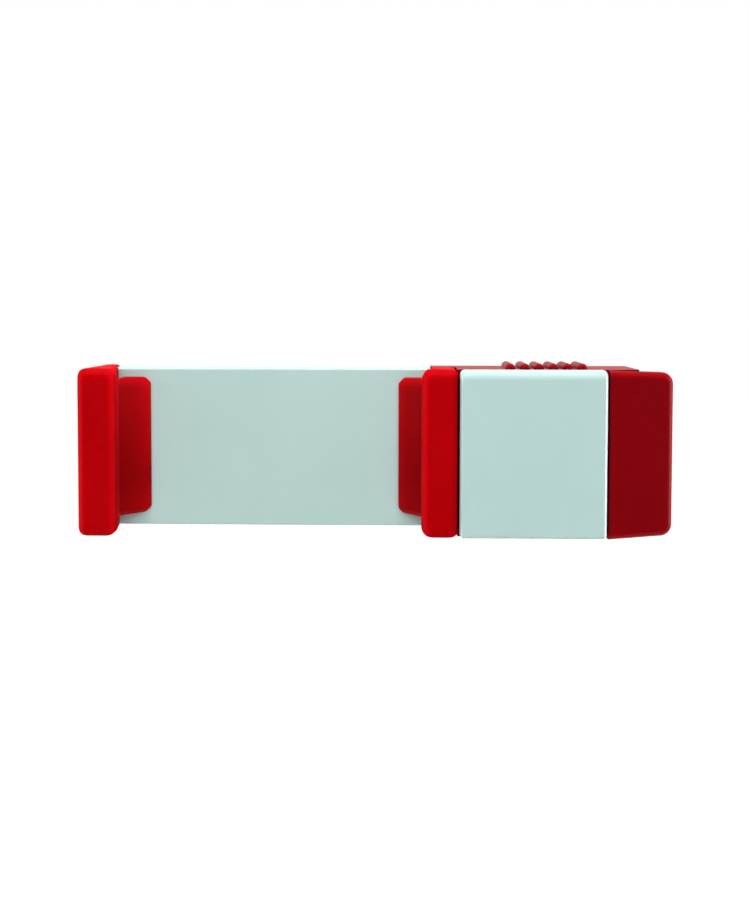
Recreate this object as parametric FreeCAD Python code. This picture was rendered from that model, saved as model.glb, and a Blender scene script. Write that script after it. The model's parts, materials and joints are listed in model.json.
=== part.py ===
import FreeCAD, Part
import math
import os

from FreeCAD import Vector

# Car vent phone mount. A tray with a soft grip on its left end, a sprung slider that carries
# the right grip, and a split vent clip that swivels on the back of the tray.
# X runs along the mount, Y runs from the phone to the vent, Z is up.
# The origin is on the swivel axis, at the throat of the clip's blade slots.

# Jaws and overall sizes, in millimetres
GRIP_GAP = 61.5
GRIP_HEIGHT = 34.0
JAW_DEPTH = 14.0
TRAVEL = 25.0

# Soft grips
LEFT_LIP_WIDTH = 7.9
RIGHT_LIP_WIDTH = 7.3
LIP_DEPTH = 4.0
LIP_OVERHANG = 2.0
LIP_CORE = 1.4
GRIP_SKIN = 1.6
GRIP_EDGE = 1.1
GRIP_CORNER = 2.2
LEFT_CORNER = 1.6
RIGHT_CORNER = 1.4
PAD_INSET = 3.0
PAD_HOOK = 1.0
PAD_REACH = 4.75
PAD_TOE = 1.2
PAD_EDGE = 0.5
PAD_CORNER = 1.2
PAD_FIT = 0.3

# Tray
TRAY_INSET = 0.5
TRAY_SKIN = 2.0
TRAY_WALL = 2.0
TRAY_EDGE = 0.3
TRAY_LAP = 1.8
BACK_EDGE = 1.0
UPRIGHT_RELIEF = 1.6
TRAY_RIB = 1.2
TRAY_RIB_INSET = 9.0

# Back plates
PLATE_THICKNESS = 2.0
PLATE_LEDGE = 1.0
PLATE_FIT = 0.15

# Small screws of the back plates
SCREW_HEAD_RADIUS = 2.0
SCREW_HEAD_HEIGHT = 1.2
SCREW_SHANK_RADIUS = 0.8
SCREW_LENGTH = 6.0
SCREW_FIT = 0.2
PILOT_FIT = 0.05
BOSS_RADIUS = 2.4
TRAY_SCREW_INSET = 4.8

# Tongue and its springs
TONGUE_ROOT = 4.0
TONGUE_WALL = 1.8
TONGUE_RIB = 2.0
TONGUE_WEB = 1.4
TONGUE_SET_IN = 1.4
TONGUE_EDGE = 0.6
END_WALL = 1.8
SPIGOT_LENGTH = 2.0
SPIGOT_FIT = 0.4
POST_THICKNESS = 1.8
POST_FIT = 0.3
SPRING_WIRE = 0.35
SPRING_FIT = 0.2
SPRING_TURNS = 10
SPRING_STEPS = 8
SPRING_SHORTEST = 6.5

# Slider
SLIDE_FIT = 0.2
REST_GAP = 0.25
BOSS_GAP = 0.8
BOSS_SINK = 0.4
JAW_WALL = 2.6
SLIDER_INSET = 0.1
SLIDER_WALL = 2.0
MID_WALL = 2.0
COVER_WIDTH = 29.4
COVER_SKIN = 1.8
COVER_SKIRT = 3.0
COVER_EDGE = 2.0
COVER_LOWER_EDGE = 0.6
COVER_CORNER = 1.0
COVER_SIDE_EDGE = 0.5
SEAM = 0.4

# Snap hooks of the front cover
HOOK_WIDTH = 5.0
HOOK_THICKNESS = 1.3
HOOK_LENGTH = 6.5
HOOK_BARB = 0.6
HOOK_BARB_LENGTH = 1.6
HOOK_FIT = 0.15
HOOK_INSET = 6.0

# Pull tab
TAB_REACH = 7.3
TAB_DROP = 3.5
TAB_TAPER = 0.5
TAB_SAG = 0.4
TAB_THICKNESS = 4.0
TAB_INSET = 0.1
TAB_CORNER = 2.4
TAB_EDGE = 1.6
TAB_BACK_EDGE = 0.9

# Finger ribs
RIB_COUNT = 6
RIB_INSET = 10.2
RIB_PITCH = 2.9
RIB_RADIUS = 1.0
RIB_RISE = 0.2
RIB_START = 4.0
RIB_END_INSET = 7.0

# Swivel
HUB_RADIUS = 11.0
HUB_THICKNESS = 4.0
HUB_EDGE = 0.8
SWIVEL_GAP = 0.3
STEM_RADIUS = 4.5
STEM_FIT = 0.05
SWIVEL_BOSS_RADIUS = 7.6
SWIVEL_BOSS_HEIGHT = 1.8
DISC_SPRING_THICKNESS = 0.45
DISC_SPRING_RISE = 0.25
DISC_SPRING_RADIUS = 6.8
STACK_FIT = 0.05
WASHER_RADIUS = 7.0
WASHER_THICKNESS = 0.8
SWIVEL_HEAD_RADIUS = 3.0
SWIVEL_HEAD_HEIGHT = 1.8
SWIVEL_HEAD_EDGE = 0.5
SWIVEL_SHANK_RADIUS = 1.3
SWIVEL_SCREW_LENGTH = 6.0
HEAD_ROOM = 0.8

# Vent clip prongs and boots
PRONG_LENGTH = 17.0
PRONG_ROOT = 3.8
PRONG_TIP = 3.0
BOOT_WALL = 1.0
BOOT_TIP = 1.2
BOOT_FIT = 0.05
BOOT_EDGE = 0.6
BOOT_CORNER = 1.8
BOOT_START = 1.0
BOOT_RIB_RADIUS = 0.4
BOOT_RIB_COUNT = 4
BOOT_RIB_PITCH = 3.2
LEVEL_SLOT = 1.8
UPRIGHT_SLOT = 2.6

# Places along Y that follow from the sizes
DISC_SPRING_ROOM = DISC_SPRING_THICKNESS + DISC_SPRING_RISE + 2 * STACK_FIT
BACK = -(HUB_THICKNESS + SWIVEL_GAP)
PLATE_SEAT = BACK - PLATE_THICKNESS
SCREW_SEAT = BACK - SCREW_HEAD_HEIGHT
BOSS_FACE = PLATE_SEAT - SWIVEL_BOSS_HEIGHT
WASHER_BACK = BOSS_FACE - DISC_SPRING_ROOM
WASHER_FRONT = WASHER_BACK - WASHER_THICKNESS
SKIN_BACK = WASHER_FRONT - SWIVEL_HEAD_HEIGHT - HEAD_ROOM
FACE = SKIN_BACK - TRAY_SKIN
FRONT = FACE - JAW_DEPTH
LIP_BACK = FRONT + LIP_DEPTH
CORE_FRONT = FRONT + GRIP_SKIN
CORE_LIP_BACK = CORE_FRONT + LIP_CORE
GRIP_FOOT = FACE - PAD_FIT
COVER_INSIDE = FRONT + COVER_SKIN
COVER_BACK = FRONT + COVER_SKIRT
HOOK_END = COVER_INSIDE + HOOK_LENGTH
TONGUE_FRONT = FACE + TONGUE_SET_IN
TONGUE_BACK = PLATE_SEAT - SLIDE_FIT
CHANNEL_FRONT = TONGUE_FRONT + TONGUE_WEB
SPRING_Y = (CHANNEL_FRONT + TONGUE_BACK) / 2
MID_WALL_BACK = TONGUE_FRONT - SLIDE_FIT
MID_WALL_FRONT = MID_WALL_BACK - MID_WALL

# Heights above the middle
GRIP_TOP = GRIP_HEIGHT / 2
CORE_TOP = GRIP_TOP - GRIP_SKIN
PAD_TOP = GRIP_TOP - PAD_INSET
TRAY_TOP = GRIP_TOP - TRAY_INSET
SLIDER_TOP = GRIP_TOP - SLIDER_INSET
CAVITY_TOP = SLIDER_TOP - SLIDER_WALL
TAB_TOP = SLIDER_TOP - TAB_INSET
TAB_BOTTOM = -(TAB_TOP + TAB_SAG)
SLIDER_SCREW_Z = CAVITY_TOP - BOSS_RADIUS + BOSS_SINK
TONGUE_TOP = SLIDER_SCREW_Z - BOSS_RADIUS - BOSS_GAP
CHANNEL_WIDTH = TONGUE_TOP - TONGUE_WALL - TONGUE_RIB / 2
CHANNEL_Z = (TONGUE_RIB + CHANNEL_WIDTH) / 2
TRAY_SCREW_Z = TRAY_TOP - TRAY_SCREW_INSET

# Places along X
LIP_EDGE = GRIP_GAP / 2
WALL_X = LIP_EDGE + LIP_OVERHANG
LEFT_END = LIP_EDGE + LEFT_LIP_WIDTH
TRAY_LEFT = WALL_X + TRAY_LAP
RIGHT_LIP_END = LIP_EDGE + RIGHT_LIP_WIDTH
TRAY_RIGHT = WALL_X - REST_GAP
TRAY_SCREW_X = TRAY_RIGHT - TRAY_WALL - TRAY_SCREW_INSET
TRAY_RIB_X = TRAY_SCREW_X - TRAY_RIB_INSET
CORE_END = RIGHT_LIP_END - SLIDE_FIT
CAVITY_LEFT = WALL_X + GRIP_SKIN + JAW_WALL
POST_LEFT = CAVITY_LEFT + REST_GAP
POST_RIGHT = POST_LEFT + POST_THICKNESS
END_WALL_LEFT = POST_RIGHT + TRAVEL + SPRING_SHORTEST
TONGUE_END = END_WALL_LEFT + END_WALL
CAVITY_RIGHT = TONGUE_END + REST_GAP
HOUSING_RIGHT = CAVITY_RIGHT + SLIDER_WALL
COVER_LEFT = RIGHT_LIP_END + SEAM
COVER_RIGHT = COVER_LEFT + COVER_WIDTH
TAB_LEFT = COVER_RIGHT + SEAM
TAB_END = HOUSING_RIGHT + TAB_REACH
RIB_FIRST = COVER_LEFT + RIB_INSET

# Radii that follow from the room there is
BORE_RADIUS = STEM_RADIUS + STEM_FIT
SPRING_RADIUS = (min(CHANNEL_WIDTH, TONGUE_BACK - CHANNEL_FRONT) - SPRING_WIRE) / 2 - SPRING_FIT
SPIGOT_RADIUS = SPRING_RADIUS - SPRING_WIRE / 2 - SPIGOT_FIT


def block(x0, x1, y0, y1, z0, z1):
    return Part.makeBox(x1 - x0, y1 - y0, z1 - z0, Vector(x0, y0, z0))


def level_block(x0, x1, y0, y1, top):
    return block(x0, x1, y0, y1, -top, top)


def plan_prism(points, top):
    """A flat outline in X and Y, raised to the same height above and below the middle."""
    corners = [Vector(x, y, -top) for x, y in points]
    corners.append(corners[0])
    return Part.Face(Part.makePolygon(corners)).extrude(Vector(0, 0, 2 * top))


def rod_along_y(x, z, y0, y1, radius):
    return Part.makeCylinder(radius, y1 - y0, Vector(x, y0, z), Vector(0, 1, 0))


def rod_along_x(y, z, x0, x1, radius):
    return Part.makeCylinder(radius, x1 - x0, Vector(x0, y, z), Vector(1, 0, 0))


def turned(x, z, outline):
    """A closed outline of (radius, y) pairs, turned about an axis along Y."""
    corners = [Vector(x + radius, y, z) for radius, y in outline]
    corners.append(corners[0])
    return Part.Face(Part.makePolygon(corners)).revolve(Vector(x, 0, z), Vector(0, 1, 0), 360)


def near(value, wanted):
    return abs(value - wanted) < 0.001


def runs_along(edge, axis):
    """True for a straight edge that runs along the named axis."""
    box = edge.BoundBox
    sizes = {"x": box.XLength, "y": box.YLength, "z": box.ZLength}
    across = [size for name, size in sizes.items() if name != axis]
    return sizes[axis] > 0.01 and max(across) < 0.001


def round_edges(shape, radius, wanted):
    """Round every edge that the test picks."""
    edges = [edge for edge in shape.Edges if wanted(edge, edge.BoundBox.Center)]
    return shape.makeFillet(radius, edges)


def bevel_edges(shape, size, wanted):
    """Cut a flat bevel on every edge that the test picks."""
    edges = [edge for edge in shape.Edges if wanted(edge, edge.BoundBox.Center)]
    return shape.makeChamfer(size, edges)


def joined(first, others):
    return first.fuse(others).removeSplitter()


def grip_pad(foot):
    """The slanted side pad of a left grip, from the hook behind the lip down to the foot."""
    hook_x = -(LIP_EDGE + PAD_HOOK)
    tip_x = -(LIP_EDGE - PAD_REACH)
    root_x = -(WALL_X + GRIP_SKIN / 2)
    outline = [
        (root_x, LIP_BACK - LIP_OVERHANG / 2),
        (hook_x, LIP_BACK - LIP_OVERHANG / 2),
        (hook_x, LIP_BACK),
        (tip_x, foot - PAD_TOE),
        (tip_x, foot),
        (root_x, foot),
    ]
    pad = plan_prism(outline, PAD_TOP)
    pad = bevel_edges(
        pad, PAD_CORNER,
        lambda edge, middle: near(edge.BoundBox.XMax, tip_x) and near(abs(middle.z), PAD_TOP)
        and not runs_along(edge, "x"))
    return bevel_edges(
        pad, PAD_EDGE,
        lambda edge, middle: runs_along(edge, "z") and near(middle.x, tip_x)
        and near(middle.y, foot - PAD_TOE))


def grip_sleeve(lip_width, end_corner, foot, back):
    """A left grip before its core is taken out: the lip, the wall below it and the pad."""
    end = -(LIP_EDGE + lip_width)
    outline = [
        (end, FRONT),
        (-LIP_EDGE, FRONT),
        (-LIP_EDGE, LIP_BACK - LIP_OVERHANG / 4),
        (-WALL_X, LIP_BACK + LIP_OVERHANG / 4),
        (-WALL_X, back),
        (end, back),
    ]
    sleeve = plan_prism(outline, GRIP_TOP)
    sleeve = round_edges(
        sleeve, GRIP_CORNER,
        lambda edge, middle: runs_along(edge, "y") and near(middle.x, -LIP_EDGE))
    sleeve = round_edges(
        sleeve, end_corner,
        lambda edge, middle: runs_along(edge, "y") and near(middle.x, end))
    sleeve = bevel_edges(
        sleeve, GRIP_EDGE,
        lambda edge, middle: near(edge.BoundBox.YMin, FRONT) and near(edge.BoundBox.YMax, FRONT))
    return joined(sleeve, [grip_pad(foot)])


def upright_core():
    """The stiff upright on the tray's left end that the left grip is pulled over."""
    outline = [
        (-LEFT_END + GRIP_SKIN, CORE_FRONT),
        (-LIP_EDGE - GRIP_SKIN, CORE_FRONT),
        (-LIP_EDGE - GRIP_SKIN, CORE_LIP_BACK),
        (-WALL_X - GRIP_SKIN, CORE_LIP_BACK),
        (-WALL_X - GRIP_SKIN, FACE),
        (-WALL_X, FACE),
        (-WALL_X, BACK),
        (-LEFT_END + GRIP_SKIN, BACK),
    ]
    return plan_prism(outline, CORE_TOP)


def tongue():
    """The flat arm that the slider runs on: smooth in front, a spring channel on each side behind."""
    arm = level_block(TRAY_RIGHT - TRAY_WALL - TONGUE_ROOT, TONGUE_END, TONGUE_FRONT, TONGUE_BACK,
                      TONGUE_TOP)
    arm = round_edges(arm, TONGUE_EDGE, lambda edge, middle: runs_along(edge, "x"))
    spigots = []
    for side in (-1, 1):
        low = side * CHANNEL_Z - CHANNEL_WIDTH / 2
        channel = block(CAVITY_LEFT - REST_GAP, END_WALL_LEFT, CHANNEL_FRONT, TONGUE_BACK + 1,
                        low, low + CHANNEL_WIDTH)
        arm = arm.cut(channel)
        spigots.append(rod_along_x(SPRING_Y, side * CHANNEL_Z, END_WALL_LEFT - SPIGOT_LENGTH,
                                   TONGUE_END - END_WALL / 2, SPIGOT_RADIUS))
    return joined(arm, spigots)


def tray_screw_places():
    return [(-TRAY_SCREW_X, -TRAY_SCREW_Z), (TRAY_SCREW_X, TRAY_SCREW_Z)]


def slider_screw_places():
    middle = (CAVITY_LEFT + CAVITY_RIGHT) / 2
    return [(middle, -SLIDER_SCREW_Z), (middle, SLIDER_SCREW_Z)]


def screw_bosses(places, front):
    return [rod_along_y(x, z, front, PLATE_SEAT, BOSS_RADIUS) for x, z in places]


def screw_pilots(places):
    """Blind holes that the small screws cut their thread in."""
    depth = SCREW_SEAT - SCREW_LENGTH - SCREW_FIT
    radius = SCREW_SHANK_RADIUS + PILOT_FIT
    return [rod_along_y(x, z, depth, PLATE_SEAT + 1, radius) for x, z in places]


def tray():
    """The moulding behind the phone: an open box with an upright at one end and a tongue."""
    shell = level_block(-TRAY_LEFT, TRAY_RIGHT, FACE, BACK, TRAY_TOP)
    shell = round_edges(
        shell, TRAY_EDGE,
        lambda edge, middle: runs_along(edge, "x") and near(middle.y, FACE))
    shell = round_edges(
        shell, BACK_EDGE,
        lambda edge, middle: runs_along(edge, "x") and near(middle.y, BACK))
    inside_left = -WALL_X + TRAY_WALL
    inside_right = TRAY_RIGHT - TRAY_WALL
    inside_top = TRAY_TOP - TRAY_WALL
    shell = shell.cut([
        level_block(inside_left, inside_right, SKIN_BACK, BACK + 1, inside_top),
        level_block(inside_left - PLATE_LEDGE, inside_right + PLATE_LEDGE, PLATE_SEAT, BACK + 1,
                    inside_top + PLATE_LEDGE),
    ])
    inner = [upright_core(), tongue()]
    for x in (-TRAY_RIB_X, TRAY_RIB_X):
        inner.append(level_block(x - TRAY_RIB / 2, x + TRAY_RIB / 2, SKIN_BACK - TRAY_SKIN / 2,
                                 PLATE_SEAT, TRAY_TOP - TRAY_WALL / 2))
    inner += screw_bosses(tray_screw_places(), SKIN_BACK - TRAY_SKIN / 2)
    shape = joined(shell, inner)
    relief = level_block(-LEFT_END + GRIP_SKIN + UPRIGHT_RELIEF, -WALL_X - PLATE_LEDGE / 2,
                         SKIN_BACK, BACK + 1, CORE_TOP - 2 * UPRIGHT_RELIEF)
    return shape.cut(screw_pilots(tray_screw_places()) + [relief])


def plate_screw_holes(plate, places):
    """Countersunk holes for the small screws of a back plate."""
    hole = SCREW_SHANK_RADIUS + SCREW_FIT
    cuts = []
    for x, z in places:
        cuts.append(turned(x, z, [
            (0, PLATE_SEAT - 1),
            (hole, PLATE_SEAT - 1),
            (hole, SCREW_SEAT),
            (SCREW_HEAD_RADIUS + SCREW_FIT, BACK),
            (0, BACK),
        ]))
    return plate.cut(cuts)


def tray_back():
    """The plate that closes the tray, with the swivel's bore in a raised boss inside."""
    edge = TRAY_WALL - PLATE_LEDGE + PLATE_FIT
    plate = level_block(-WALL_X + edge, TRAY_RIGHT - edge, PLATE_SEAT, BACK, TRAY_TOP - edge)
    plate = joined(plate, [rod_along_y(0, 0, BOSS_FACE, BACK, SWIVEL_BOSS_RADIUS)])
    plate = plate.cut(rod_along_y(0, 0, BOSS_FACE - 1, BACK + 1, BORE_RADIUS))
    return plate_screw_holes(plate, tray_screw_places())


def left_grip():
    """The left grip, cut back behind the tray's face to where the tray begins."""
    sleeve = grip_sleeve(LEFT_LIP_WIDTH, LEFT_CORNER, FACE, BACK)
    tray_room = level_block(-TRAY_LEFT, 0, FACE, BACK + 1, GRIP_TOP + 1)
    return sleeve.cut([upright_core(), tray_room])


def jaw_core():
    """The stiff wall on the slider that the right grip is pulled over."""
    outline = [
        (LIP_EDGE + GRIP_SKIN, CORE_FRONT),
        (CORE_END, CORE_FRONT),
        (CORE_END, CORE_LIP_BACK),
        (RIGHT_LIP_END, CORE_LIP_BACK),
        (RIGHT_LIP_END, MID_WALL_BACK),
        (WALL_X + GRIP_SKIN, MID_WALL_BACK),
        (WALL_X + GRIP_SKIN, CORE_LIP_BACK),
        (LIP_EDGE + GRIP_SKIN, CORE_LIP_BACK),
    ]
    return plan_prism(outline, CORE_TOP)


def right_grip():
    """The right grip is a left one, turned over and cut to the jaw wall's depth."""
    sleeve = grip_sleeve(RIGHT_LIP_WIDTH, RIGHT_CORNER, GRIP_FOOT, GRIP_FOOT)
    sleeve = sleeve.mirror(Vector(0, 0, 0), Vector(1, 0, 0))
    open_end = level_block(CORE_END, RIGHT_LIP_END + 1, CORE_FRONT, GRIP_FOOT + 1, CORE_TOP)
    return sleeve.cut([jaw_core(), open_end])


def tab_line(offset):
    """Two points of the pull tab's front face line, moved back by the offset."""
    start = Vector(TAB_LEFT, FRONT + SEAM, 0)
    finish = Vector(TAB_END, FRONT + SEAM + TAB_DROP, 0)
    along = finish.sub(start).normalize()
    back = Vector(-along.y, along.x, 0).multiply(offset)
    return start.add(back), finish.add(back)


def tab_y(offset, x):
    """Where a line behind the pull tab's face crosses the given x."""
    start, finish = tab_line(offset)
    return start.y + (x - start.x) * (finish.y - start.y) / (finish.x - start.x)


def tab_x(offset, y):
    """Where a line behind the pull tab's face crosses the given y."""
    start, finish = tab_line(offset)
    return start.x + (y - start.y) * (finish.x - start.x) / (finish.y - start.y)


def on_plane(edge, start, finish):
    """True when both ends of an edge lie on the upright plane through two points."""
    along = finish.sub(start)
    for vertex in edge.Vertexes:
        step = vertex.Point.sub(start)
        if abs(along.x * step.y - along.y * step.x) > 0.01:
            return False
    return True


def tab_elevation():
    """The pull tab as seen from the front: narrower towards its end, and a little low."""
    outline = [(TAB_LEFT, TAB_BOTTOM), (TAB_END, TAB_BOTTOM + TAB_TAPER), (TAB_END, TAB_TOP - TAB_TAPER),
               (TAB_LEFT, TAB_TOP), (TAB_LEFT, TAB_BOTTOM)]
    corners = [Vector(x, FRONT, z) for x, z in outline]
    return Part.Face(Part.makePolygon(corners)).extrude(Vector(0, BACK - FRONT, 0))


def pull_tab():
    """The slanted plate at the slider's end, which runs on past the housing as a finger pull."""
    front_start, front_finish = tab_line(0)
    back_start, back_finish = tab_line(TAB_THICKNESS)
    outline = [
        (front_start.x, front_start.y),
        (front_finish.x, front_finish.y),
        (back_finish.x, back_finish.y),
        (TAB_LEFT, tab_y(TAB_THICKNESS, TAB_LEFT)),
    ]
    plate = plan_prism(outline, -TAB_BOTTOM).common(tab_elevation())
    plate = round_edges(
        plate, TAB_CORNER,
        lambda edge, middle: on_plane(edge, front_finish, back_finish) and not runs_along(edge, "z"))
    plate = round_edges(
        plate, TAB_EDGE,
        lambda edge, middle: on_plane(edge, front_start, front_finish) and middle.x > TAB_LEFT + 0.01)
    return bevel_edges(
        plate, TAB_BACK_EDGE,
        lambda edge, middle: on_plane(edge, back_start, back_finish) and middle.x > TAB_LEFT + 0.01)


def housing_outline():
    """The plan of the slider housing's walls, without the jaw wall."""
    set_back = TAB_THICKNESS / 2
    return [
        (RIGHT_LIP_END, COVER_BACK),
        (tab_x(set_back, COVER_BACK), COVER_BACK),
        (HOUSING_RIGHT, tab_y(set_back, HOUSING_RIGHT)),
        (HOUSING_RIGHT, BACK),
        (WALL_X, BACK),
        (WALL_X, GRIP_FOOT),
        (RIGHT_LIP_END, GRIP_FOOT),
    ]


def front_room():
    """The hollow behind the front cover, open at the front."""
    set_back = TAB_THICKNESS * 0.75
    right = COVER_RIGHT - COVER_SKIN
    return plan_prism([
        (CORE_END, FRONT - 1),
        (right, FRONT - 1),
        (right, tab_y(set_back, right)),
        (CAVITY_RIGHT, tab_y(set_back, CAVITY_RIGHT)),
        (CAVITY_RIGHT, MID_WALL_FRONT),
        (CAVITY_LEFT, MID_WALL_FRONT),
        (CAVITY_LEFT, CORE_LIP_BACK),
        (CORE_END, CORE_LIP_BACK),
    ], CAVITY_TOP)


def slider_housing():
    """The slider's red moulding: walls, mid wall, jaw wall, pull tab and finger ribs."""
    shape = plan_prism(housing_outline(), SLIDER_TOP)
    shape = round_edges(
        shape, BACK_EDGE,
        lambda edge, middle: near(middle.y, BACK) and not near(middle.x, WALL_X))
    shape = joined(shape, [jaw_core(), pull_tab()] + finger_ribs())
    tongue_room = level_block(CAVITY_LEFT, CAVITY_RIGHT, MID_WALL_BACK, BACK + 1, CAVITY_TOP)
    plate_room = level_block(CAVITY_LEFT - PLATE_LEDGE, CAVITY_RIGHT + PLATE_LEDGE, PLATE_SEAT,
                             BACK + 1, CAVITY_TOP + PLATE_LEDGE)
    notch = level_block(WALL_X - 1, CAVITY_LEFT + 1, MID_WALL_BACK, BACK + 1, TONGUE_TOP + SLIDE_FIT)
    shape = shape.cut([front_room(), tongue_room, plate_room, notch])
    shape = joined(shape, screw_bosses(slider_screw_places(), MID_WALL_BACK - MID_WALL / 2))
    cuts = screw_pilots(slider_screw_places())
    for x, side in hook_places():
        wall = side * CAVITY_TOP
        floor = side * (CAVITY_TOP + HOOK_BARB)
        cuts.append(block(x - HOOK_WIDTH / 2 - HOOK_FIT, x + HOOK_WIDTH / 2 + HOOK_FIT,
                          HOOK_END - HOOK_BARB_LENGTH - HOOK_FIT, HOOK_END + HOOK_FIT,
                          min(wall, floor), max(wall, floor)))
    return shape.cut(cuts)


def finger_ribs():
    """Round ribs across the top of the slider, half sunk in it."""
    ribs = []
    start = FRONT + RIB_START
    end = BACK - RIB_END_INSET
    for number in range(RIB_COUNT):
        x = RIB_FIRST + number * RIB_PITCH
        ribs.append(rod_along_y(x, SLIDER_TOP + RIB_RISE, start, end, RIB_RADIUS))
    return ribs


def hook_places():
    left = COVER_LEFT + HOOK_INSET
    right = COVER_RIGHT - HOOK_INSET
    return [(left, -1), (right, -1), (left, 1), (right, 1)]


def snap_hook(x, side):
    """One hook of the front cover, with a barb that catches in the housing's wall."""
    outer = side * (CAVITY_TOP - HOOK_FIT)
    inner = outer - side * HOOK_THICKNESS
    barb = outer + side * (HOOK_BARB - HOOK_FIT)
    barb_front = HOOK_END - HOOK_BARB_LENGTH
    root = COVER_INSIDE - COVER_SKIN / 2
    outline = [(root, inner), (HOOK_END, inner), (HOOK_END, outer), (barb_front, barb),
               (barb_front, outer), (root, outer), (root, inner)]
    corners = [Vector(x - HOOK_WIDTH / 2, y, z) for y, z in outline]
    return Part.Face(Part.makePolygon(corners)).extrude(Vector(HOOK_WIDTH, 0, 0))


def front_cover():
    """The pale panel on the slider, rounder along its top, dished behind, with four snap hooks."""
    panel = level_block(COVER_LEFT, COVER_RIGHT, FRONT, COVER_BACK, SLIDER_TOP)
    outline = round_edges(panel, COVER_CORNER, lambda edge, middle: runs_along(edge, "y"))
    panel = round_edges(
        panel, COVER_EDGE,
        lambda edge, middle: runs_along(edge, "x") and near(middle.y, FRONT) and middle.z > 0)
    panel = round_edges(
        panel, COVER_LOWER_EDGE,
        lambda edge, middle: runs_along(edge, "x") and near(middle.y, FRONT) and middle.z < 0)
    panel = bevel_edges(
        panel, COVER_SIDE_EDGE,
        lambda edge, middle: runs_along(edge, "z") and near(middle.y, FRONT))
    panel = panel.common(outline)
    panel = panel.cut(level_block(COVER_LEFT + COVER_SKIN, COVER_RIGHT - COVER_SKIN,
                                  COVER_INSIDE, COVER_BACK + 1, CAVITY_TOP))
    return joined(panel, [snap_hook(x, side) for x, side in hook_places()])


def spring_posts():
    """Two short posts on the slider back that each push a spring along its channel."""
    posts = []
    half = CHANNEL_WIDTH / 2 - POST_FIT
    for side in (-1, 1):
        middle = side * CHANNEL_Z
        posts.append(block(POST_LEFT, POST_RIGHT, CHANNEL_FRONT + POST_FIT,
                           PLATE_SEAT + PLATE_THICKNESS / 2, middle - half, middle + half))
        posts.append(rod_along_x(SPRING_Y, middle, POST_LEFT + POST_THICKNESS / 2,
                                 POST_RIGHT + SPIGOT_LENGTH, SPIGOT_RADIUS))
    return posts


def slider_back():
    """The plate that closes the tongue's room, with the spring posts and a tab in the notch."""
    edge = PLATE_LEDGE - PLATE_FIT
    plate = level_block(CAVITY_LEFT - edge, CAVITY_RIGHT + edge, PLATE_SEAT, BACK,
                        CAVITY_TOP + edge)
    notch_tab = level_block(WALL_X, CAVITY_LEFT, PLATE_SEAT, BACK, TONGUE_TOP)
    plate = joined(plate, [notch_tab] + spring_posts())
    return plate_screw_holes(plate, slider_screw_places())


def plate_screws(places):
    """The small countersunk screws of a back plate, as one group."""
    screws = []
    for x, z in places:
        screws.append(turned(x, z, [
            (0, SCREW_SEAT - SCREW_LENGTH),
            (SCREW_SHANK_RADIUS, SCREW_SEAT - SCREW_LENGTH),
            (SCREW_SHANK_RADIUS, SCREW_SEAT),
            (SCREW_HEAD_RADIUS, BACK),
            (0, BACK),
        ]))
    return Part.makeCompound(screws)


def spring(side):
    """One compression spring of square wire, lofted through cuts of the wire along its helix."""
    half = SPRING_WIRE / 2
    start = POST_RIGHT + half + STACK_FIT
    length = END_WALL_LEFT - POST_RIGHT - 2 * (half + STACK_FIT)
    count = SPRING_TURNS * SPRING_STEPS
    cuts = []
    for number in range(count + 1):
        x = start + length * number / count
        angle = 2 * math.pi * number / SPRING_STEPS
        corners = []
        for along, out in ((-half, -half), (half, -half), (half, half), (-half, half)):
            radius = SPRING_RADIUS + out
            corners.append(Vector(x + along, SPRING_Y + radius * math.cos(angle),
                                  side * CHANNEL_Z + radius * math.sin(angle)))
        cuts.append(Part.makePolygon(corners + corners[:1]))
    return Part.makeLoft(cuts, True, True)


def prong_places():
    """The middle of each prong's root, for the four quarters around the swivel axis."""
    half = PRONG_ROOT / 2 + BOOT_FIT + BOOT_WALL
    return {
        "lower_left": (-half - UPRIGHT_SLOT / 2, -half - LEVEL_SLOT / 2),
        "lower_right": (half + UPRIGHT_SLOT / 2, -half - LEVEL_SLOT / 2),
        "upper_left": (-half - UPRIGHT_SLOT / 2, half + LEVEL_SLOT / 2),
        "upper_right": (half + UPRIGHT_SLOT / 2, half + LEVEL_SLOT / 2),
    }


def tapered_post(x, z, y0, y1, root, tip):
    """A square post along Y that narrows from its root to its tip."""
    return Part.makeWedge(x - root / 2, y0, z - root / 2, z - tip / 2, x - tip / 2,
                          x + root / 2, y1, z + root / 2, z + tip / 2, x + tip / 2)


def clip_body():
    """The swivel hub with its stem and the four prongs of the vent clip."""
    hub = turned(0, 0, [
        (0, WASHER_BACK),
        (STEM_RADIUS, WASHER_BACK),
        (STEM_RADIUS, -HUB_THICKNESS),
        (HUB_RADIUS, -HUB_THICKNESS),
        (HUB_RADIUS, -HUB_EDGE),
        (HUB_RADIUS - HUB_EDGE, 0),
        (0, 0),
    ])
    prongs = []
    for x, z in prong_places().values():
        prongs.append(tapered_post(x, z, -HUB_THICKNESS / 2, PRONG_LENGTH, PRONG_ROOT, PRONG_TIP))
    shape = joined(hub, prongs)
    pilot_end = WASHER_FRONT + SWIVEL_SCREW_LENGTH + SCREW_FIT
    return shape.cut(rod_along_y(0, 0, WASHER_BACK - 1, pilot_end, SWIVEL_SHANK_RADIUS + PILOT_FIT))


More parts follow.
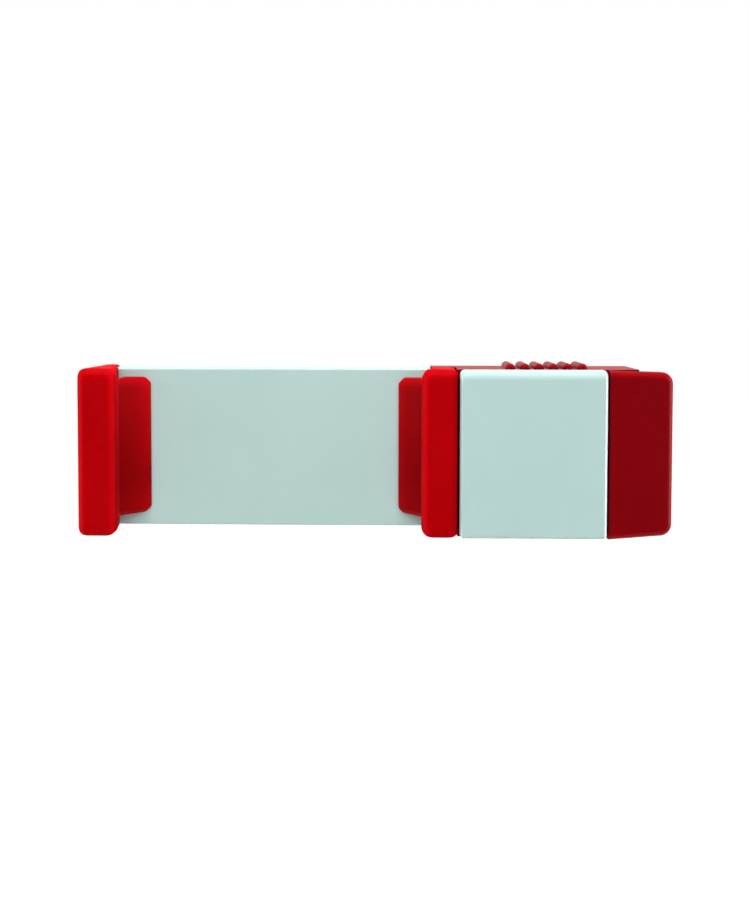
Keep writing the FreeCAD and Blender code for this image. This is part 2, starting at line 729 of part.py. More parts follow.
def prong_boot(x, z):
    """A soft closed sleeve over one prong, ribbed on the sides that grip the vent blade."""
    around = 2 * (BOOT_FIT + BOOT_WALL)
    end = PRONG_LENGTH + BOOT_FIT + BOOT_TIP
    boot = tapered_post(x, z, BOOT_START, end, PRONG_ROOT + around, PRONG_TIP + around)
    outer_x = abs(x) + (PRONG_ROOT + PRONG_TIP) / 4 + around / 2
    outer_z = abs(z) + (PRONG_ROOT + PRONG_TIP) / 4 + around / 2
    boot = round_edges(
        boot, BOOT_CORNER,
        lambda edge, middle: near(abs(middle.x), outer_x) and near(abs(middle.z), outer_z))
    boot = bevel_edges(boot, BOOT_EDGE, lambda edge, middle: near(edge.BoundBox.YMin, end))
    ribs = []
    reach = PRONG_TIP / 2
    inner_z = z - (PRONG_TIP + around) / 2 if z > 0 else z + (PRONG_TIP + around) / 2
    for number in range(BOOT_RIB_COUNT):
        y = end - BOOT_TIP - BOOT_RIB_PITCH * (number + 0.5)
        ribs.append(rod_along_x(y, inner_z, x - reach, x + reach, BOOT_RIB_RADIUS))
    boot = joined(boot, ribs)
    room = tapered_post(x, z, -HUB_THICKNESS / 2, PRONG_LENGTH + BOOT_FIT,
                        PRONG_ROOT + 2 * BOOT_FIT, PRONG_TIP + 2 * BOOT_FIT)
    return boot.cut(room)


def disc_spring():
    """The coned washer that presses the clip's hub against the tray back."""
    inner = STEM_RADIUS + SCREW_FIT
    near_y = BOSS_FACE - STACK_FIT
    far_y = near_y - DISC_SPRING_RISE
    return turned(0, 0, [
        (inner, far_y),
        (DISC_SPRING_RADIUS, near_y),
        (DISC_SPRING_RADIUS, near_y - DISC_SPRING_THICKNESS),
        (inner, far_y - DISC_SPRING_THICKNESS),
    ])


def swivel_washer():
    hole = SWIVEL_SHANK_RADIUS + SCREW_FIT
    return turned(0, 0, [
        (hole, WASHER_BACK),
        (WASHER_RADIUS, WASHER_BACK),
        (WASHER_RADIUS, WASHER_FRONT),
        (hole, WASHER_FRONT),
    ])


def swivel_screw():
    front = WASHER_FRONT - SWIVEL_HEAD_HEIGHT
    end = WASHER_FRONT + SWIVEL_SCREW_LENGTH
    return turned(0, 0, [
        (0, front),
        (SWIVEL_HEAD_RADIUS - SWIVEL_HEAD_EDGE, front),
        (SWIVEL_HEAD_RADIUS, WASHER_FRONT),
        (SWIVEL_SHANK_RADIUS, WASHER_FRONT),
        (SWIVEL_SHANK_RADIUS, end),
        (0, end),
    ])


parts = {
    "tray": tray(),
    "tray_back": tray_back(),
    "tray_screws": plate_screws(tray_screw_places()),
    "left_grip": left_grip(),
    "slider_housing": slider_housing(),
    "slider_back": slider_back(),
    "slider_screws": plate_screws(slider_screw_places()),
    "front_cover": front_cover(),
    "right_grip": right_grip(),
    "spring_upper": spring(1),
    "spring_lower": spring(-1),
    "clip_body": clip_body(),
    "disc_spring": disc_spring(),
    "swivel_washer": swivel_washer(),
    "swivel_screw": swivel_screw(),
}
for name, (x, z) in prong_places().items():
    parts["prong_boot_" + name] = prong_boot(x, z)

os.makedirs("parts", exist_ok=True)
for name, shape in parts.items():
    shape.exportStep("parts/" + name + ".step")
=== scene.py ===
import json
import math

import bmesh
import bpy
from mathutils import Matrix, Quaternion, Vector


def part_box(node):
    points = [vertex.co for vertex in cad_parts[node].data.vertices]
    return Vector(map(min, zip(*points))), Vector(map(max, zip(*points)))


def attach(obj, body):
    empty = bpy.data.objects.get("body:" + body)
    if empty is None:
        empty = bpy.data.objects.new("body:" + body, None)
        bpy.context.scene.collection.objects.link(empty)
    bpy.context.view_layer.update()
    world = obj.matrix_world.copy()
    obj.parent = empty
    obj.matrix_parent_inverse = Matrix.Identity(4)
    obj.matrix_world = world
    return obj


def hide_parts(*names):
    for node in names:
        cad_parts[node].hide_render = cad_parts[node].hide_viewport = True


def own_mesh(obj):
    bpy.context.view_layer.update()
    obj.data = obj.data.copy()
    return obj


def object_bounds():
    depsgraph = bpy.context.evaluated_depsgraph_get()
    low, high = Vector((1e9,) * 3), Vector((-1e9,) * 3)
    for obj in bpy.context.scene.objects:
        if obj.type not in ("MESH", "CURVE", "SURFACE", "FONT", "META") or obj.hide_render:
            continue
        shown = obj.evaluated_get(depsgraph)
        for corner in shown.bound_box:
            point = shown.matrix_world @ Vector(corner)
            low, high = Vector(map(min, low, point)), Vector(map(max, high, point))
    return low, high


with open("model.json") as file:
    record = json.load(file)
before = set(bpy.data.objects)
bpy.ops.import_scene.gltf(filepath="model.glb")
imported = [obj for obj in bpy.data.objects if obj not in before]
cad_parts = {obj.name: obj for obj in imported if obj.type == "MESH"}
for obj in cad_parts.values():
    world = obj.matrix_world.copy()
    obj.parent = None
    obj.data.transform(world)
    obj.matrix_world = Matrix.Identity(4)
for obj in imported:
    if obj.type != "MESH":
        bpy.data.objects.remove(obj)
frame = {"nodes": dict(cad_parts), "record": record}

# The looks of a car vent phone mount: finishes, soft grips and boots, rounded finger ribs, wound springs,
# cross-head screws, and a plain white studio. Lengths are in metres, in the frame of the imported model.

CAD_LOW, CAD_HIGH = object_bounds()
NODES = frame["nodes"]
MM = 0.001
scene = bpy.context.scene

# Camera: a little above the tray and to the right of its middle, turned slightly down and to the left
CAMERA_PLACE = Vector((28.39, -301.44, 28.33)) * MM
CAMERA_YAW = math.radians(1.456)
CAMERA_PITCH = math.radians(2.996)
CAMERA_ROLL = math.radians(0.105)
CAMERA_RISE = -0.0731
LENS = 54.9
SENSOR = 36.0
CLIP_NEAR = 0.01
CLIP_FAR = 50

# Colours, linear
MINT_WHITE = (0.485, 0.665, 0.635, 1)
MINT_SHADE = (0.465, 0.645, 0.615, 1)
SILICONE_RED = (0.49, 0.0003, 0.0030, 1)
SILICONE_DEEP = (0.45, 0.0002, 0.0026, 1)
SILICONE_HOLLOW_PAINTED_SHADE = (0.38, 0.38, 0.38, 1)
PAD_SHADE = (0.62, 0.62, 0.62, 1)
PAD_MIDDLE_SHADE = (0.70, 0.70, 0.70, 1)
# The red plastic's colours are the lighter tone of its painted edge highlight; a painted shade darkens its
# flat faces from them
MOULDED_RED = (0.265, 0.0003, 0.0030, 1)
MOULDED_DEEP = (0.247, 0.0003, 0.0027, 1)
MOULDED_PAINTED_FACE_SHADE = (0.66, 0.66, 0.66, 1)
PINK_SHEEN = (1.0, 0.10, 0.15, 1)
ZINC = (0.46, 0.47, 0.49, 1)
ZINC_DULL = (0.38, 0.39, 0.41, 1)
FLOOR_WHITE = (0.50, 0.50, 0.50, 1)
WHITE = (1, 1, 1, 1)
AMBIENT = (0.14, 0.14, 0.14, 1)

# Painted light on the red plastic: it is lighter where it turns away from the face of the pull tab, a
# painted highlight on rounded edges over a painted shade on flat faces (cosines of the turn)
TAB_FACING = (0.275, -0.961, 0)
ROUNDED = 0.86
FLAT = 0.99

# The moulded plastics' roughness varies from this much below its middle to this much above it
ROUGHNESS_BELOW = 0.04
ROUGHNESS_ABOVE = 0.05

# Studio: the floor below the hanging mount, what the lamps aim at, and where the white backdrop
# begins and is full, seen along +Y
FLOOR_DROP = 500 * MM
FLOOR_REACH = 8.0
LAMP_AIM = (0.02, -0.02, 0)
BACKDROP_START = -0.5
BACKDROP_FULL = 0.3

# Soft mouldings: the cells that they are cut into, how often they are smoothed, and how far the painted
# shade reaches that darkens their colour where other surfaces stand close
WELD_GAP = 0.001 * MM
SMOOTHING = 0.5
GRIP_CELL = 0.30 * MM
GRIP_ROUNDS = 12
BOOT_CELL = 0.20 * MM
BOOT_ROUNDS = 4
HOLLOW_PAINTED_SHADE_REACH = 12 * MM

# The pads sit a little above the middle, and carry a painted shade that darkens them from the toe towards
# the lip
PAD_SHADE_FROM = 31.05 * MM
PAD_SHADE_START = 0.02
PAD_MIDDLE = 0.65
PAD_ROOT = 32.5 * MM
PAD_TOE = 26.0 * MM
PAD_FRONT = -25.0 * MM
PAD_EASE = 1.0 * MM
PAD_HALF = 14.0 * MM
PAD_LIFT = 0.5 * MM
PAD_STRETCH = 0.3 * MM
PAD_SINK = 0.2 * MM

# The right lip swells towards the front cover
SWELL = 0.2 * MM
SWELL_REACH = 1.0 * MM

# The lips' fronts lean back towards their top edges
CROWN_HEIGHT = 5 * MM
CROWN_DEPTH = 3 * MM
CROWN_LEAN = 0.6 * MM
CROWN_POWER = 3

# Rounded noses on the front ends of the finger ribs
RIB_COUNT = 6
RIB_FIRST = 48.65 * MM
RIB_PITCH = 2.9 * MM
RIB_FRONT = -24.3 * MM
RIB_AXIS = 17.1 * MM
RIB_RADIUS = 1.0 * MM
NOSE_ROOT = 0.25 * MM
NOSE_STEPS = 12
NOSE_CREASE = math.radians(50)

# Springs
COIL_TURNS = 10
COIL_CLOSED_TURNS = 1
COIL_WIRE = 0.35 * MM
COIL_STEPS = 28
WIRE_SIDES = 8

# Screws: (radius, depth below the top of the head), in millimetres
COUNTERSUNK = [(0.0, 0.0), (1.90, 0.0), (2.0, 0.08), (0.85, 1.2), (0.60, 1.6), (0.60, 6.5),
               (0.12, 7.2), (0.0, 7.2)]
PAN_HEAD = [(0.0, 0.0), (1.90, 0.0), (2.45, 0.15), (2.80, 0.55), (2.98, 1.2), (3.0, 1.8), (1.05, 1.8),
            (1.02, 7.0), (0.30, 7.8), (0.0, 7.8)]
SCREW_HEAD = 2.0 * MM
SCREW_STEPS = 40
SCREW_CREASE = math.radians(35)

# Cross recesses: shares of a blade's reach, and its rise above the head in millimetres
RECESS_TIP = 0.4
RECESS_HALF_WIDTH = 0.22
RECESS_DEPTH = 0.75
RECESS_TAPER = 0.7
RECESS_RISE = 0.1


def make_camera():
    data = bpy.data.cameras.new("camera")
    data.lens = LENS
    data.sensor_width = SENSOR
    data.shift_y = CAMERA_RISE
    data.clip_start = CLIP_NEAR
    data.clip_end = CLIP_FAR
    camera = bpy.data.objects.new("camera", data)
    camera.location = CAMERA_PLACE
    camera.rotation_mode = "QUATERNION"
    turned = Quaternion((0, 0, 1), CAMERA_YAW) @ Quaternion((1, 0, 0), math.pi / 2 - CAMERA_PITCH)
    camera.rotation_quaternion = turned @ Quaternion((0, 0, 1), CAMERA_ROLL)
    scene.collection.objects.link(camera)
    scene.camera = camera


class Nodes:
    """A short way to add and join the nodes of one material."""

    def __init__(self, name):
        self.material = bpy.data.materials.new(name)
        self.material.use_nodes = True
        self.tree = self.material.node_tree
        self.shader = self.tree.nodes["Principled BSDF"]
        coordinates = self.add("ShaderNodeTexCoord")
        self.place = coordinates.outputs["Object"]
        self.normal = coordinates.outputs["Normal"]

    def add(self, kind, **settings):
        node = self.tree.nodes.new(kind)
        for name, value in settings.items():
            setattr(node, name, value)
        return node

    def link(self, output, target):
        self.tree.links.new(output, target)

    def noise(self, scale, detail=2.0, rough=0.5):
        node = self.add("ShaderNodeTexNoise")
        self.link(self.place, node.inputs["Vector"])
        node.inputs["Scale"].default_value = scale
        node.inputs["Detail"].default_value = detail
        node.inputs["Roughness"].default_value = rough
        return node.outputs["Fac"]

    def between(self, factor, low, high, start=0.35, end=0.65):
        """A colour that runs from low to high as the factor runs from start to end."""
        ramp = self.add("ShaderNodeValToRGB")
        self.link(factor, ramp.inputs["Fac"])
        ramp.color_ramp.elements[0].position = start
        ramp.color_ramp.elements[0].color = low
        ramp.color_ramp.elements[1].position = end
        ramp.color_ramp.elements[1].color = high
        return ramp.outputs["Color"]

    def spread(self, factor, low, high, start=0.3, end=0.7):
        """A number that runs from low to high as the factor runs from start to end."""
        node = self.add("ShaderNodeMapRange")
        self.link(factor, node.inputs["Value"])
        node.inputs["From Min"].default_value = start
        node.inputs["From Max"].default_value = end
        node.inputs["To Min"].default_value = low
        node.inputs["To Max"].default_value = high
        return node.outputs["Result"]

    def multiply(self, first, second):
        node = self.add("ShaderNodeMix", data_type="RGBA", blend_type="MULTIPLY")
        node.inputs["Factor"].default_value = 1.0
        self.link(first, node.inputs["A"])
        self.link(second, node.inputs["B"])
        return node.outputs["Result"]

    def along_pad(self):
        """0 on the lips and beyond, and from 0 to 1 across a pad, from beside the lip to the toe."""
        axes = self.add("ShaderNodeSeparateXYZ")
        self.link(self.place, axes.inputs["Vector"])
        side = self.add("ShaderNodeMath", operation="ABSOLUTE")
        self.link(axes.outputs["X"], side.inputs[0])
        node = self.add("ShaderNodeMapRange")
        self.link(side.outputs["Value"], node.inputs["Value"])
        node.inputs["From Min"].default_value = PAD_SHADE_FROM
        node.inputs["From Max"].default_value = PAD_TOE
        return node.outputs["Result"]

    def facing(self, direction):
        """1 on surfaces that look along the direction or against it, less on surfaces that turn aside."""
        turned = self.add("ShaderNodeVectorMath", operation="DOT_PRODUCT")
        self.link(self.normal, turned.inputs[0])
        turned.inputs[1].default_value = direction
        node = self.add("ShaderNodeMath", operation="ABSOLUTE")
        self.link(turned.outputs["Value"], node.inputs[0])
        return node.outputs["Value"]

    def openness(self, reach):
        """1 on open surfaces, less where other surfaces stand close."""
        node = self.add("ShaderNodeAmbientOcclusion", samples=8)
        node.inputs["Distance"].default_value = reach
        return node.outputs["AO"]

    def soft_edges(self, radius):
        """Normals that turn smoothly over sharp edges, as on a moulding."""
        node = self.add("ShaderNodeBevel", samples=4)
        node.inputs["Radius"].default_value = radius
        return node.outputs["Normal"]

    def bump(self, height, strength, distance, under=None):
        node = self.add("ShaderNodeBump")
        self.link(height, node.inputs["Height"])
        node.inputs["Strength"].default_value = strength
        node.inputs["Distance"].default_value = distance
        if under is not None:
            self.link(under, node.inputs["Normal"])
        return node.outputs["Normal"]


def moulded_plastic(name, deep, light, roughness, specular, edge, painted_face_shade=None):
    """Satin moulded plastic: a fine spark-eroded grain over faint broad flow marks.

    A painted face shade darkens the surfaces that look the way the pull tab does, and leaves rounded ones
    lighter as a painted highlight.
    """
    nodes = Nodes(name)
    shader = nodes.shader
    flow = nodes.noise(scale=38, detail=3)
    colour = nodes.between(flow, deep, light)
    # painted light: flat faces take a painted shade, and rounded edges stay lighter as a painted highlight
    if painted_face_shade is not None:
        faces = nodes.between(nodes.facing(TAB_FACING), WHITE, painted_face_shade, start=ROUNDED, end=FLAT)
        colour = nodes.multiply(colour, faces)
    nodes.link(colour, shader.inputs["Base Color"])
    gloss = nodes.spread(nodes.noise(scale=420), roughness - ROUGHNESS_BELOW, roughness + ROUGHNESS_ABOVE)
    nodes.link(gloss, shader.inputs["Roughness"])
    waves = nodes.bump(flow, strength=0.02, distance=0.4 * MM, under=nodes.soft_edges(edge))
    grain = nodes.noise(scale=2600, detail=3, rough=0.6)
    nodes.link(nodes.bump(grain, strength=0.10, distance=0.03 * MM, under=waves), shader.inputs["Normal"])
    shader.inputs["Specular IOR Level"].default_value = specular
    return nodes.material


def soft_silicone(name):
    """Matte silicone: fine powdery grain, faint mottling, a soft bright rim, painted shade in crevices and
    on the pads near the lips.
    """
    nodes = Nodes(name)
    shader = nodes.shader
    mottle = nodes.between(nodes.noise(scale=150, detail=4), SILICONE_DEEP, SILICONE_RED)
    # painted shade: the colour darkens where other surfaces stand close, as ambient occlusion does
    hollow_painted_shade = nodes.between(nodes.openness(HOLLOW_PAINTED_SHADE_REACH), SILICONE_HOLLOW_PAINTED_SHADE, WHITE)
    # painted shade on the pads: darkest just beside the lip, fading out towards the toe
    pads = nodes.between(nodes.along_pad(), PAD_SHADE, WHITE, start=PAD_SHADE_START, end=1.0)
    stops = pads.node.color_ramp.elements
    stops.new(0.0).color = WHITE
    stops.new(PAD_MIDDLE).color = PAD_MIDDLE_SHADE
    nodes.link(nodes.multiply(nodes.multiply(mottle, hollow_painted_shade), pads), shader.inputs["Base Color"])
    nodes.link(nodes.spread(nodes.noise(scale=600), low=0.55, high=0.68), shader.inputs["Roughness"])
    powder = nodes.noise(scale=3800, detail=2, rough=0.6)
    nodes.link(nodes.bump(powder, strength=0.2, distance=0.03 * MM), shader.inputs["Normal"])
    shader.inputs["Specular IOR Level"].default_value = 0.02
    shader.inputs["Subsurface Weight"].default_value = 0.6
    shader.inputs["Subsurface Radius"].default_value = (1.0, 0.05, 0.05)
    shader.inputs["Subsurface Scale"].default_value = 1.5 * MM
    shader.inputs["Sheen Weight"].default_value = 0.07
    shader.inputs["Sheen Roughness"].default_value = 0.2
    shader.inputs["Sheen Tint"].default_value = PINK_SHEEN
    return nodes.material


def zinc_steel(name):
    """Zinc-plated steel wire and screws, with a fine grain and dull patches."""
    nodes = Nodes(name)
    shader = nodes.shader
    patches = nodes.noise(scale=900, detail=4)
    nodes.link(nodes.between(patches, ZINC_DULL, ZINC), shader.inputs["Base Color"])
    nodes.link(nodes.spread(nodes.noise(scale=1500), low=0.22, high=0.40), shader.inputs["Roughness"])
    grain = nodes.noise(scale=5200)
    nodes.link(nodes.bump(grain, strength=0.12, distance=0.02 * MM), shader.inputs["Normal"])
    shader.inputs["Metallic"].default_value = 1.0
    return nodes.material


def make_materials():
    """One finish for each of the record's material slots."""
    return {
        "pale_plastic": moulded_plastic("pale_plastic_finish", MINT_SHADE, MINT_WHITE, roughness=0.42,
                                        specular=0.20, edge=0.2 * MM),
        "red_plastic": moulded_plastic("red_plastic_finish", MOULDED_DEEP, MOULDED_RED, roughness=0.40,
                                       specular=0.04, edge=0.5 * MM, painted_face_shade=MOULDED_PAINTED_FACE_SHADE),
        "red_silicone": soft_silicone("red_silicone_finish"),
        "steel": zinc_steel("steel_finish"),
    }


def slot_of(node):
    for part in frame["record"]["subparts"]:
        if part["node"] == node:
            return part["material_slot"]


def body_of(node):
    for body, members in frame["record"]["behaviour"]["bodies"].items():
        if node in members:
            return body


def finish_cad_nodes(materials):
    """The rigid CAD pieces stay as they are, with new finishes."""
    for name, node in NODES.items():
        node.data.materials[0] = materials[slot_of(name)]


def stand_for(piece, node, materials):
    """Put a new piece in a CAD node's place, on the same body and with the same finish."""
    piece.data.materials.clear()
    piece.data.materials.append(materials[slot_of(node)])
    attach(piece, body_of(node))
    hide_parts(node)


def mesh_object(name, mesh):
    piece = bpy.data.objects.new(name, mesh)
    scene.collection.objects.link(piece)
    return piece


def finished_mesh(shape, name):
    """The mesh of an object after its modifiers; the object itself goes."""
    depsgraph = bpy.context.evaluated_depsgraph_get()
    mesh = bpy.data.meshes.new_from_object(shape.evaluated_get(depsgraph))
    mesh.name = name
    bpy.data.objects.remove(shape)
    return mesh


def closed_mesh(mesh, name):
    """A Blender mesh from a bmesh, with its faces turned outwards and smoothly shaded."""
    bmesh.ops.recalc_face_normals(mesh, faces=mesh.faces)
    for face in mesh.faces:
        face.smooth = True
    data = bpy.data.meshes.new(name)
    mesh.to_mesh(data)
    mesh.free()
    return data


def add_tube(mesh, rings):
    """Add a closed skin through a row of rings of points, with flat ends."""
    skin = [[mesh.verts.new(point) for point in ring] for ring in rings]
    count = len(skin[0])
    for first, second in zip(skin, skin[1:]):
        for side in range(count):
            following = (side + 1) % count
            mesh.faces.new((first[side], first[following], second[following], second[side]))
    mesh.faces.new(skin[0])
    mesh.faces.new(skin[-1])


def add_wire(mesh, path, radius):
    """Add a round wire along a list of (place, outward) pairs, with flat ends."""
    rings = []
    for number, (place, outward) in enumerate(path):
        before = path[max(number - 1, 0)][0]
        after = path[min(number + 1, len(path) - 1)][0]
        across = (after - before).normalized().cross(outward)
        ring = []
        for side in range(WIRE_SIDES):
            turn = 2 * math.pi * side / WIRE_SIDES
            ring.append(place + radius * (math.cos(turn) * outward + math.sin(turn) * across))
        rings.append(ring)
    add_tube(mesh, rings)


def soft_copy(node, name, cell, rounds):
    """A soft moulding with every edge eased: the CAD form in small cells, then smoothed."""
    form = mesh_object(name + "_form", NODES[node].data.copy())
    weld = form.modifiers.new("weld", "WELD")
    weld.merge_threshold = WELD_GAP
    cells = form.modifiers.new("cells", "REMESH")
    cells.mode = "VOXEL"
    cells.voxel_size = cell
    cells.use_smooth_shade = True
    ease = form.modifiers.new("ease", "SMOOTH")
    ease.factor = SMOOTHING
    ease.iterations = rounds
    return mesh_object(name, finished_mesh(form, name))


def crown_lip(piece, node):
    """Lean the front of a grip's lip back towards its top edge."""
    low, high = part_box(node)
    for vertex in piece.data.vertices:
        near_top = max(0, 1 - (high.z - vertex.co.z) / CROWN_HEIGHT)
        near_front = max(0, 1 - (vertex.co.y - low.y) / CROWN_DEPTH)
        vertex.co.y += CROWN_LEAN * near_top ** CROWN_POWER * near_front


def settle_pad(piece):
    """Raise and stretch the pad of a grip a little, and let its foot down on the tray."""
    for vertex in piece.data.vertices:
        inside = min(max((PAD_ROOT - abs(vertex.co.x)) / PAD_EASE, 0), 1)
        inside *= min(max((vertex.co.y - PAD_FRONT) / PAD_EASE, 0), 1)
        vertex.co.z += inside * (PAD_LIFT + PAD_STRETCH * vertex.co.z / PAD_HALF)
        vertex.co.y += inside * PAD_SINK


def swell_lip(piece, node):
    """Swell the right side of a lip, so that it closes most of the seam beside it."""
    _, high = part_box(node)
    for vertex in piece.data.vertices:
        vertex.co.x += SWELL * max(0, 1 - (high.x - vertex.co.x) / SWELL_REACH)


def make_soft_pieces(materials):
    for node in ("left_grip", "right_grip"):
        sleeve = soft_copy(node, node + "_sleeve", GRIP_CELL, GRIP_ROUNDS)
        crown_lip(sleeve, node)
        settle_pad(sleeve)
        if node == "right_grip":
            swell_lip(sleeve, node)
        stand_for(sleeve, node, materials)
    for node in NODES:
        if node.startswith("prong_boot"):
            stand_for(soft_copy(node, node + "_sleeve", BOOT_CELL, BOOT_ROUNDS), node, materials)


def make_rib_noses(materials):
    """A quarter ball on the front end of each finger rib."""
    mesh = bmesh.new()
    for number in range(RIB_COUNT):
        middle = Vector((RIB_FIRST + number * RIB_PITCH, RIB_FRONT, RIB_AXIS))
        rings = []
        for step in range(NOSE_STEPS):
            tilt = math.pi / 2 * step / NOSE_STEPS
            reach = RIB_RADIUS * math.cos(tilt)
            level = middle - Vector((0, RIB_RADIUS * math.sin(tilt), 0))
            ring = [level + Vector((reach, 0, -NOSE_ROOT))]
            for side in range(NOSE_STEPS + 1):
                turn = math.pi * side / NOSE_STEPS
                ring.append(level + reach * Vector((math.cos(turn), 0, math.sin(turn))))
            ring.append(level + Vector((-reach, 0, -NOSE_ROOT)))
            rings.append(ring)
        add_tube(mesh, rings)
    noses = mesh_object("rib_noses", closed_mesh(mesh, "rib_noses"))
    noses.data.materials.append(materials["red_plastic"])
    noses.data.set_sharp_from_angle(angle=NOSE_CREASE)
    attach(noses, "slider")


def make_spring(node, materials):
    """A wound compression spring with closed end turns, in a CAD spring's place."""
    low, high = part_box(node)
    middle = (low + high) / 2
    radius = (high.z - low.z - COIL_WIRE) / 2
    start = low.x + COIL_WIRE / 2
    end = high.x - COIL_WIRE / 2
    closed = COIL_CLOSED_TURNS * COIL_WIRE
    pitch = (end - start - 2 * closed) / COIL_TURNS
    turns = COIL_TURNS + 2 * COIL_CLOSED_TURNS
    path = []
    for number in range(turns * COIL_STEPS + 1):
        turn = number / COIL_STEPS
        open_turns = min(max(turn - COIL_CLOSED_TURNS, 0), COIL_TURNS)
        x = start + (turn - open_turns) * COIL_WIRE + open_turns * pitch
        angle = 2 * math.pi * turn
        outward = Vector((0, math.cos(angle), math.sin(angle)))
        path.append((Vector((x, middle.y, middle.z)) + radius * outward, outward))
    mesh = bmesh.new()
    add_wire(mesh, path, COIL_WIRE / 2)
    piece = mesh_object(node + "_coil", closed_mesh(mesh, node + "_coil"))
    stand_for(piece, node, materials)
    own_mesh(piece)


def lathe(outline):
    """A form turned about the Y axis from (radius, depth) pairs in millimetres, with its top at y = 0."""
    mesh = bmesh.new()
    rings = []
    for radius, depth in outline:
        count = 1 if radius == 0 else SCREW_STEPS
        ring = []
        for step in range(count):
            turn = 2 * math.pi * step / SCREW_STEPS
            x = radius * MM * math.cos(turn)
            z = radius * MM * math.sin(turn)
            ring.append(mesh.verts.new((x, -depth * MM, z)))
        rings.append(ring)
    for first, second in zip(rings, rings[1:]):
        for step in range(SCREW_STEPS):
            following = (step + 1) % SCREW_STEPS
            corners = [first[step % len(first)], first[following % len(first)],
                       second[following % len(second)], second[step % len(second)]]
            mesh.faces.new(list(dict.fromkeys(corners)))
    return mesh


def cross_blade(reach, turn):
    """One tapered blade of a cross recess, from just above the head's top downwards."""
    mesh = bmesh.new()
    half_width = reach * RECESS_HALF_WIDTH
    levels = [(reach, half_width, RECESS_RISE),
              (reach * RECESS_TIP, half_width * RECESS_TAPER, -reach * RECESS_DEPTH)]
    rings = []
    for long, wide, y in levels:
        corners = [(-long, -wide), (long, -wide), (long, wide), (-long, wide)]
        rings.append([(x * MM, y * MM, z * MM) for x, z in corners])
    add_tube(mesh, rings)
    bmesh.ops.rotate(mesh, verts=mesh.verts, matrix=Matrix.Rotation(turn, 3, "Y"))
    return mesh_object("blade", closed_mesh(mesh, "blade"))


def screw_mesh(outline, reach, thread_core, thread_wire, thread_from, thread_to, thread_pitch):
    """One cross-head screw with its head's top at the origin and a rounded thread, in millimetres."""
    form = mesh_object("screw_form", closed_mesh(lathe(outline), "screw_form"))
    blades = []
    for turn in (math.pi / 4, 3 * math.pi / 4):
        blade = cross_blade(reach, turn)
        cut = form.modifiers.new("recess", "BOOLEAN")
        cut.operation = "DIFFERENCE"
        cut.object = blade
        blades.append(blade)
    solid = finished_mesh(form, "screw_solid")
    for blade in blades:
        bpy.data.objects.remove(blade)
    mesh = bmesh.new()
    mesh.from_mesh(solid)
    steps = round((thread_to - thread_from) / thread_pitch * SCREW_STEPS)
    path = []
    for step in range(steps + 1):
        turn = 2 * math.pi * step / SCREW_STEPS
        outward = Vector((math.cos(turn), 0, math.sin(turn)))
        y = -(thread_from + thread_pitch * step / SCREW_STEPS) * MM
        path.append((Vector((0, y, 0)) + thread_core * MM * outward, outward))
    add_wire(mesh, path, thread_wire * MM)
    data = closed_mesh(mesh, "screw")
    data.set_sharp_from_angle(angle=SCREW_CREASE)
    return data


def place_screws(node, one, places, materials):
    """All the screws of a CAD node as one piece."""
    mesh = bmesh.new()
    for place in places:
        before = len(mesh.verts)
        mesh.from_mesh(one)
        mesh.verts.ensure_lookup_table()
        bmesh.ops.translate(mesh, verts=mesh.verts[before:], vec=place)
    name = node + "_cross_head"
    data = bpy.data.meshes.new(name)
    mesh.to_mesh(data)
    mesh.free()
    stand_for(mesh_object(name, data), node, materials)


def make_screws(materials):
    """Countersunk screws in the back plates, and the pan-head screw that holds the vent clip."""
    small = screw_mesh(COUNTERSUNK, reach=1.25, thread_core=0.62, thread_wire=0.15,
                       thread_from=1.7, thread_to=6.4, thread_pitch=0.75)
    for node in ("tray_screws", "slider_screws"):
        low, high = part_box(node)
        first = Vector((low.x + SCREW_HEAD, high.y, low.z + SCREW_HEAD))
        second = Vector((high.x - SCREW_HEAD, high.y, high.z - SCREW_HEAD))
        place_screws(node, small, [first, second], materials)
    large = screw_mesh(PAN_HEAD, reach=1.7, thread_core=1.06, thread_wire=0.2,
                       thread_from=2.2, thread_to=6.9, thread_pitch=0.9)
    large.transform(Matrix.Rotation(math.pi, 4, "Z"))
    low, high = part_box("swivel_screw")
    head = Vector(((low.x + high.x) / 2, low.y, (low.z + high.z) / 2))
    place_screws("swivel_screw", large, [head], materials)


def math_node(tree, operation, first, second):
    node = tree.nodes.new("ShaderNodeMath")
    node.operation = operation
    tree.links.new(first, node.inputs[0])
    tree.links.new(second, node.inputs[1])
    return node.outputs["Value"]


def behind_the_mount(tree, coordinates):
    """1 towards the backdrop behind the mount, falling to 0 towards the dark room in front of it."""
    axes = tree.nodes.new("ShaderNodeSeparateXYZ")
    tree.links.new(tree.nodes.new("ShaderNodeTexCoord").outputs[coordinates], axes.inputs["Vector"])
    share = tree.nodes.new("ShaderNodeMapRange")
    tree.links.new(axes.outputs["Y"], share.inputs["Value"])
    share.inputs["From Min"].default_value = BACKDROP_START
    share.inputs["From Max"].default_value = BACKDROP_FULL
    return share.outputs["Result"]


def seen_directly(tree, coordinates):
    """1 for a ray from the camera, a clear piece or a reflection of the backdrop, 0 for all other light."""
    rays = tree.nodes.new("ShaderNodeLightPath").outputs
    mirrored = math_node(tree, "MULTIPLY", rays["Is Glossy Ray"], behind_the_mount(tree, coordinates))
    clear = math_node(tree, "MAXIMUM", rays["Is Camera Ray"], rays["Is Transmission Ray"])
    return math_node(tree, "MAXIMUM", clear, mirrored)


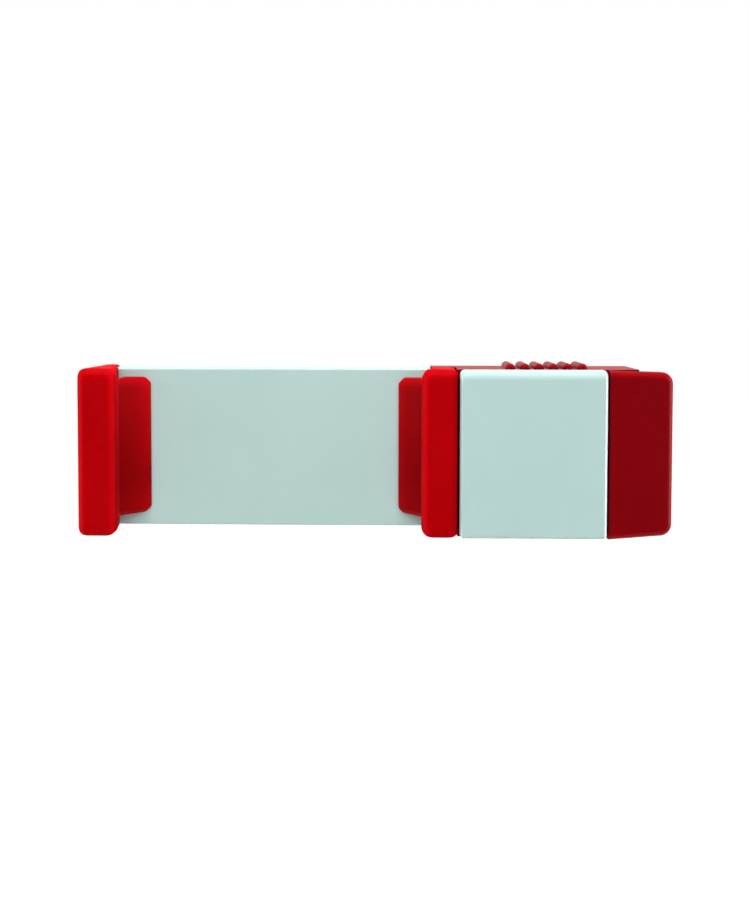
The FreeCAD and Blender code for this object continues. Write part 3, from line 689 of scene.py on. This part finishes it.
def make_floor():
    """A grey floor below the mount, which looks as white as the background."""
    mesh = bpy.data.meshes.new("floor")
    low = CAD_LOW.z - FLOOR_DROP
    corners = [(-FLOOR_REACH, -FLOOR_REACH, low), (FLOOR_REACH, -FLOOR_REACH, low),
               (FLOOR_REACH, FLOOR_REACH, low), (-FLOOR_REACH, FLOOR_REACH, low)]
    mesh.from_pydata(corners, [], [(0, 1, 2, 3)])
    nodes = Nodes("floor_white")
    shader = nodes.shader
    shader.inputs["Base Color"].default_value = FLOOR_WHITE
    shader.inputs["Roughness"].default_value = 0.9
    shader.inputs["Specular IOR Level"].default_value = 0.0
    shader.inputs["Emission Color"].default_value = WHITE
    nodes.link(seen_directly(nodes.tree, "Object"), shader.inputs["Emission Strength"])
    mesh.materials.append(nodes.material)
    mesh_object("floor", mesh)


def make_world():
    """White to the camera, white behind the mount to reflections, and an even grey light otherwise."""
    world = bpy.data.worlds.new("studio")
    world.use_nodes = True
    tree = world.node_tree
    colour = tree.nodes.new("ShaderNodeMix")
    colour.data_type = "RGBA"
    tree.links.new(seen_directly(tree, "Generated"), colour.inputs["Factor"])
    colour.inputs["A"].default_value = AMBIENT
    colour.inputs["B"].default_value = WHITE
    tree.links.new(colour.outputs["Result"], tree.nodes["Background"].inputs["Color"])
    scene.world = world


def area_light(name, place, size, power, mirrored=True):
    data = bpy.data.lights.new(name, "AREA")
    data.shape = "RECTANGLE"
    data.size, data.size_y = size
    data.energy = power
    light = bpy.data.objects.new(name, data)
    light.location = place
    light.visible_glossy = mirrored
    light.rotation_mode = "QUATERNION"
    light.rotation_quaternion = (Vector(LAMP_AIM) - Vector(place)).to_track_quat("-Z", "Y")
    scene.collection.objects.link(light)


def make_lights():
    """Soft boxes in front, above and behind, and a tall narrow one on each side for the edges."""
    area_light("overhead", place=(0.02, -0.04, 0.80), size=(0.3, 0.45), power=6.2)
    area_light("left_strip", place=(-0.80, -0.065, 0.08), size=(0.07, 0.5), power=5.0)
    area_light("right_strip", place=(0.84, -0.025, 0.08), size=(0.07, 0.5), power=8.5)
    area_light("front", place=(0.02, -1.10, 0.35), size=(1.0, 0.7), power=10.0, mirrored=False)
    area_light("back", place=(0.02, 0.90, 0.75), size=(0.9, 0.5), power=4.2, mirrored=False)


make_camera()
materials = make_materials()
finish_cad_nodes(materials)
make_soft_pieces(materials)
make_rib_noses(materials)
make_spring("spring_upper", materials)
make_spring("spring_lower", materials)
make_screws(materials)
make_floor()
make_world()
make_lights()
scene.view_settings.view_transform = "Standard"
